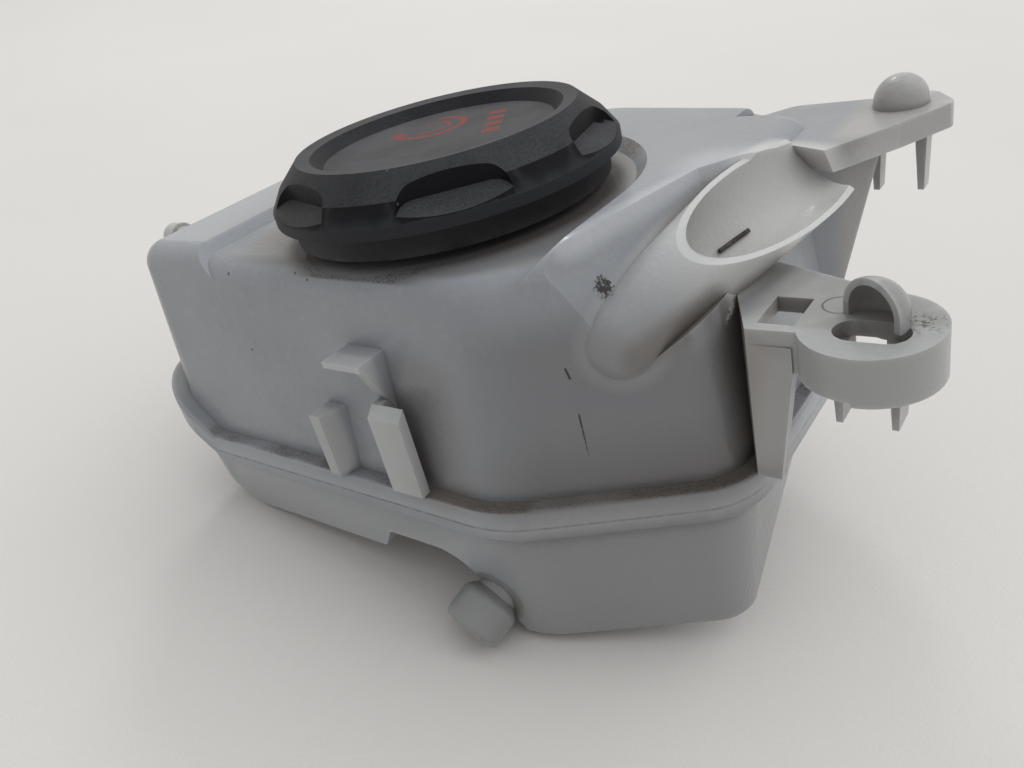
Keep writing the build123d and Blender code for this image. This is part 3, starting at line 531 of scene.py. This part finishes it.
# The red sign in the cap's dish: a turn arrow of two arcs and a head, and a slanted row of bars
SIGN = Layer((0.26, 0.058, 0.047), 0.9)
SIGN_DEPTH = 0.0004
DISH_BAND = (DISH_Z - SIGN_DEPTH, DISH_Z + SIGN_DEPTH, 0.0002)
SIGN_ZONE = {"z": DISH_BAND, "facing_up": (0.9, 0.98), "grain": (0.35, 0.6, 0.55, 1.0)}
ARROW_X, ARROW_Y = -0.0085, 0.0075
ARC_BAND, ARC_SWEEP = (0.0068, 0.0084, 0.0002), (-2.2, 2.0, 0.03)
INNER_ARC_BAND, INNER_ARC_SWEEP = (0.0038, 0.0046, 0.0002), (-1.7, 2.6, 0.04)
HEAD_X, HEAD_Y = -0.59, -0.81
HEAD_OUT = 0.0076
HEAD_SLOPE = 0.62
HEAD_SIDES, HEAD_BASE = (0.0028, 0.0025), (-0.0004, -0.0001)
BARS_COS, BARS_SIN = 0.86, 0.5
BAR_PITCH = 0.0052
BAR_LENGTH = (0.0098, 0.0135, 0.0002)
BAR_SHARE = (0.2, 0.75, 0.06)
BAR_ROW = (-BAR_PITCH, 3 * BAR_PITCH, 0.0001)


def turn_sign(f):
    """A generic turn arrow and a row of bars, worn, in the cap's dish."""
    across = f.x - NECK_X
    along = f.y - NECK_Y
    arrow_x = across - ARROW_X
    arrow_y = along - ARROW_Y
    reach = f.length(arrow_x, arrow_y)
    lean = f.node("ShaderNodeMath", {"operation": "ARCTAN2"}, {0: arrow_y, 1: arrow_x})
    arc = f.band(reach, *ARC_BAND) * f.band(lean, *ARC_SWEEP)
    inner_arc = f.band(reach, *INNER_ARC_BAND) * f.band(lean, *INNER_ARC_SWEEP)

    tip_x = arrow_x - HEAD_OUT * HEAD_X
    tip_y = arrow_y - HEAD_OUT * HEAD_Y
    down = tip_x * HEAD_Y - tip_y * HEAD_X
    side = abs(tip_x * HEAD_X + tip_y * HEAD_Y)
    head = f.ease(side + HEAD_SLOPE * down, *HEAD_SIDES) * f.ease(down, *HEAD_BASE)

    row = along * BARS_COS - across * BARS_SIN
    ladder = f.node("ShaderNodeMath", {"operation": "FRACT"}, {0: row / BAR_PITCH})
    bars = f.band(across * BARS_COS + along * BARS_SIN, *BAR_LENGTH)
    bars = bars * f.band(ladder, *BAR_SHARE) * f.band(row, *BAR_ROW)
    return f.zone(SIGN_ZONE, f.most(arc, inner_arc, head, bars))


def black_plastic():
    """Grained black plastic of the cap's cover, dusty on top, with a worn red turn sign."""
    f = Finish(bpy.data.materials.new("black_plastic"), cloud=COVER_CLOUD, grain=COVER_GRAIN)
    colour = f.blend(f.ease(f.cloud, *COVER_LIMITS), COVER_DEEP, COVER_PALE)
    dusty = f.zone(DUSTY_ZONE)
    colour = f.lay(colour, COVER_DUST, dusty)
    colour = f.lay(colour, SETTLED)
    colour = f.lay(colour, COVER_WORN)
    colour = f.lay(colour, COVER_CREASE, f.creases(*COVER_CREASES))
    sign = turn_sign(f)
    colour = f.lay(colour, SIGN, sign)
    colour = f.lay(colour, DIMPLE, f.spot(DIMPLE_SPOT))
    colour = f.lay(colour, COVER_SPECK, f.grains(*COVER_SPECKS))
    return f.finish(
        colour,
        roughness=0.44 + 0.14 * f.cloud + 0.16 * dusty,
        relief=0.6 * f.grain + 0.4 * f.noise(COVER_SKIN) + 0.3 * sign,
        depth=0.00012,
        Specular_IOR_Level=0.14,
    )


def two_shades(name, pattern, limits, under, over):
    """A new material with a cloudy pattern between two shades: its finish and its colour."""
    f = Finish(bpy.data.materials.new(name), cloud=pattern)
    return f, f.blend(f.ease(f.cloud, *limits), under, over)


CORE_DIRT = Layer((0.06, 0.052, 0.046), 0.5, {"z": (0.0925, 0.0893), "cloud": (0.4, 0.6)})
# Painted shade in the valve insert's creases
VALVE_CREASES = (0.004, 0.35, 0.8)
VALVE_CREASE_SHADE = Layer((0.12, 0.085, 0.06), 0.6)
BARK_STREAKS = Pattern(900.0, 4.0, 0.7)
BARK_STRETCH = (1.0, 0.25, 0.6)
BARK_LIMITS = (0.38, 0.66)
PAPER_FIBRE = Pattern(1400.0, 3.0, 0.6)


def core_plastic():
    """Plain black moulding under the cap's cover, dirty at its lower edge."""
    shades = (0.009, 0.009, 0.011), (0.015, 0.015, 0.017)
    f, colour = two_shades("core_plastic", Pattern(120.0, 4.0, 0.6), (0.35, 0.7), *shades)
    colour = f.lay(colour, CORE_DIRT)
    relief = f.noise(Pattern(2200.0))
    return f.finish(colour, 0.42 + 0.16 * f.cloud, relief, depth=0.0001, Specular_IOR_Level=0.22)


def seal_rubber():
    """Soft black rubber of the seals, slightly bloomed."""
    shades = (0.012, 0.012, 0.012), (0.032, 0.031, 0.03)
    f, colour = two_shades("seal_rubber", Pattern(260.0, 4.0, 0.65), (0.45, 0.75), *shades)
    relief = f.noise(Pattern(3000.0))
    return f.finish(colour, 0.62 + 0.18 * f.cloud, relief, depth=0.00005)


def valve_plastic():
    """Pale engineering plastic of the valve insert, stained by coolant, with painted shade in its creases."""
    shades = (0.36, 0.34, 0.3), (0.26, 0.22, 0.17)
    f, colour = two_shades("valve_plastic", Pattern(140.0, 4.0, 0.6), (0.4, 0.7), *shades)
    # Painted shade in the valve's creases
    colour = f.lay(colour, VALVE_CREASE_SHADE, f.creases(*VALVE_CREASES))
    relief = f.noise(Pattern(1200.0))
    return f.finish(colour, 0.34 + 0.2 * f.cloud, relief, depth=0.0001)


def spring_steel():
    """Drawn steel wire of the valve springs, dulled in places."""
    shades = (0.56, 0.55, 0.53), (0.3, 0.25, 0.2)
    f, colour = two_shades("spring_steel", Pattern(420.0, 4.0, 0.65), (0.45, 0.75), *shades)
    relief = f.noise(Pattern(2600.0))
    return f.finish(colour, 0.26 + 0.35 * f.cloud, relief, depth=0.00004, Metallic=1.0)


def dry_bark():
    """Grey-brown bark of the bit of stalk, streaked along it."""
    f = Finish(bpy.data.materials.new("dry_bark"))
    streak = f.noise(BARK_STREAKS, f.vector("MULTIPLY", f.place, BARK_STRETCH))
    colour = f.blend(f.ease(streak, *BARK_LIMITS), (0.03, 0.025, 0.021), (0.13, 0.11, 0.095))
    return f.finish(colour, 0.7 + 0.2 * streak, relief=streak, depth=0.0002)


def pale_paper():
    """Matt off-white paper of the floor."""
    shades = (0.69, 0.662, 0.632), (0.705, 0.68, 0.65)
    f, colour = two_shades("pale_paper", Pattern(6.0, 3.0), (0.3, 0.7), *shades)
    fibre = f.noise(PAPER_FIBRE)
    return f.finish(colour, 0.9 + 0.05 * fibre, relief=fibre, depth=0.00012)


def placed(name, made):
    """Turns a made mesh into an object in the scene."""
    mesh = bpy.data.meshes.new(name)
    made.to_mesh(mesh)
    made.free()
    thing = bpy.data.objects.new(name, mesh)
    bpy.context.scene.collection.objects.link(thing)
    return thing


def skinned(name, rings, smooth):
    """A piece with faces between rings of points, and a cap at each end."""
    made = bmesh.new()
    rows = [[made.verts.new(point) for point in ring] for ring in rings]
    for row, beyond in zip(rows, rows[1:]):
        for side in range(len(row)):
            after = (side + 1) % len(row)
            made.faces.new((row[side], row[after], beyond[after], beyond[side]))
    made.faces.new(rows[0][::-1])
    made.faces.new(rows[-1])
    bmesh.ops.recalc_face_normals(made, faces=made.faces)
    for face in made.faces:
        face.smooth = smooth and len(face.verts) == 4
    return placed(name, made)


def twig():
    """A dry bit of stalk that lies in the pocket tube, thicker at its foot."""
    low, high = Vector(TWIG_LOW), Vector(TWIG_HIGH)
    run = high - low
    across = run.orthogonal().normalized()
    beside = run.cross(across).normalized()
    rings = []
    for step in range(TWIG_RINGS):
        share = step / (TWIG_RINGS - 1)
        centre = low + run * share + across * TWIG_BEND * sin(pi * share)
        ring = []
        for side in range(TWIG_SIDES):
            lean = 2 * pi * side / TWIG_SIDES
            flat = 1.0 + TWIG_FLAT * cos(2 * lean + TWIG_TWIST * share)
            thick = TWIG_THICK * (1.0 - TWIG_TAPER * share) * flat
            ring.append(centre + (across * cos(lean) + beside * sin(lean)) * thick)
        rings.append(ring)
    return skinned("twig_in_pocket_tube", rings, smooth=False)


def coil(node, wire, turns):
    """A round-wire spring in the place of its CAD node."""
    low, high = (Vector(corner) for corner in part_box(node))
    reach = (high.x - low.x - wire) / 2
    rise = high.z - low.z - wire
    start = Vector((NECK_X, NECK_Y, low.z + wire / 2))
    steps = turns * COIL_STEPS
    rings = []
    for step in range(steps + 1):
        angle = 2 * pi * step / COIL_STEPS
        outward = Vector((cos(angle), sin(angle), 0.0))
        along = Vector((-sin(angle) * reach, cos(angle) * reach, rise / (2 * pi * turns))).normalized()
        beside = along.cross(outward)
        centre = start + Vector((0.0, 0.0, rise * step / steps)) + outward * reach
        ring = []
        for side in range(COIL_SIDES):
            lean = 2 * pi * side / COIL_SIDES
            ring.append(centre + (outward * cos(lean) + beside * sin(lean)) * wire / 2)
        rings.append(ring)
    return skinned(node + "_coil", rings, smooth=True)


FINISHES = {
    "milky_plastic": milky_plastic(),
    "black_plastic": black_plastic(),
    "core_plastic": core_plastic(),
    "seal_rubber": seal_rubber(),
    "valve_plastic": valve_plastic(),
    "spring_steel": spring_steel(),
}
for row in frame["record"]["subparts"]:
    mesh = frame["nodes"][row["node"]].data
    mesh.materials.clear()
    mesh.materials.append(FINISHES[row["material_slot"]])

stalk_piece = twig()
stalk_piece.data.materials.append(dry_bark())
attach(stalk_piece, "tank")

# Each spring's coil rides with its valve's body, in the place of its CAD node, which is hidden
pressure_coil = coil("pressure_valve_spring", PRESSURE_WIRE, PRESSURE_TURNS)
vacuum_coil = coil("vacuum_valve_spring", VACUUM_WIRE, VACUUM_TURNS)
for piece in (pressure_coil, vacuum_coil):
    piece.data.materials.append(FINISHES["spring_steel"])
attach(pressure_coil, "cap_valve")
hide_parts("pressure_valve_spring")
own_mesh(pressure_coil)
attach(vacuum_coil, "pressure_valve")
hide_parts("vacuum_valve_spring")
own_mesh(vacuum_coil)

# The view: where the camera stands and how it is turned
HEADING, PITCH, ROLL = radians(42.5), radians(28.91), radians(14.49)
EYE = Vector((0.12145, -0.14625, 0.1421))
LENS = 29.77
NEAR_CLIP = 0.005
away = Vector((-sin(HEADING), cos(HEADING), 0.0))
right = Vector((cos(HEADING), sin(HEADING), 0.0))
up = Vector((0.0, 0.0, 1.0))
look = away * cos(PITCH) - up * sin(PITCH)
top = away * sin(PITCH) + up * cos(PITCH)
frame_right = right * cos(ROLL) - top * sin(ROLL)
frame_up = top * cos(ROLL) + right * sin(ROLL)
lens = bpy.data.cameras.new("photo_camera")
lens.lens = LENS
lens.clip_start = NEAR_CLIP
camera = bpy.data.objects.new("photo_camera", lens)
turned = Matrix((frame_right, frame_up, -look)).transposed().to_4x4()
camera.matrix_world = Matrix.Translation(EYE) @ turned
bpy.context.scene.collection.objects.link(camera)
bpy.context.scene.camera = camera

# The floor, tipped under the level tank, because in the photo the tank lies on its sump and left toe
FLOOR_TIP = radians(10.1)
FLOOR_SIZE = 3.0
FLOOR_CELLS = 8
floor_up = Vector((sin(FLOOR_TIP), 0.0, cos(FLOOR_TIP)))
lowest = min(floor_up.dot(v.co) for node in frame["nodes"].values() for v in node.data.vertices)
sheet = bmesh.new()
bmesh.ops.create_grid(sheet, x_segments=FLOOR_CELLS, y_segments=FLOOR_CELLS, size=FLOOR_SIZE)
floor = placed("floor", sheet)
floor.data.materials.append(pale_paper())
tipped = floor_up.to_track_quat("Z", "Y").to_matrix().to_4x4()
floor.matrix_world = Matrix.Translation(floor_up * lowest) @ tipped

WARM_WHITE = (1.0, 0.985, 0.96)
COOL_WHITE = (0.96, 0.98, 1.0)


def soft_lamp(name, place, size, power, tint):
    """A square lamp that points at the tank."""
    light = bpy.data.lights.new(name, "AREA")
    light.size = size
    light.energy = power
    light.color = tint
    lamp = bpy.data.objects.new(name, light)
    lamp.location = place
    lamp.rotation_mode = "QUATERNION"
    lamp.rotation_quaternion = (-place).to_track_quat("-Z", "Y")
    bpy.context.scene.collection.objects.link(lamp)


key_place = away * 0.5 + right * 0.7 + floor_up * 1.6
sheen_place = away * 0.95 + right * 0.05 + floor_up * 0.95
soft_lamp("key_lamp", key_place, size=1.5, power=1.4, tint=WARM_WHITE)
soft_lamp("sheen_lamp", sheen_place, size=0.22, power=1.7, tint=COOL_WHITE)

# Soft room light that is strongest overhead, and a pale background past the floor's edge
ROOM_LIGHT = 0.17
ROOM_TINT = (0.97, 0.985, 1.0, 1.0)
BACKGROUND = (0.66, 0.645, 0.61, 1.0)
room = Finish(bpy.data.worlds.new("room"))
toward = room.node("ShaderNodeTexCoord", {}, {}, "Generated")


def glow(direction, focus, strength):
    """Light from one side of the room, narrower the larger the focus."""
    share = room.vector("DOT_PRODUCT", toward, direction.normalized(), "Value")
    return room.most(share, 0.0) ** focus * strength


overhead = glow(floor_up + away * 0.12 + right * 0.38, focus=2.4, strength=1.42)
right_side = glow(floor_up * 0.5 + right - away * 0.3, focus=3.0, strength=0.48)
left_side = glow(floor_up * 0.3 - right, focus=3.0, strength=0.52)
strength = ROOM_LIGHT + overhead + left_side + right_side
lit = room.node("ShaderNodeBackground", {}, {"Color": ROOM_TINT, "Strength": strength})
pale = room.node("ShaderNodeBackground", {}, {"Color": BACKGROUND, "Strength": 1.0})
ray = room.node("ShaderNodeLightPath", {}, {}, "Is Camera Ray")
plain = room.most(ray, ray.also("Is Glossy Ray"), ray.also("Is Transmission Ray"))
surface = room.node("ShaderNodeMixShader", {}, {0: plain, 1: lit, 2: pale})
room.node("ShaderNodeOutputWorld", {}, {"Surface": surface}, None)
bpy.context.scene.world = room.owner

bpy.context.scene.view_settings.view_transform = "Standard"
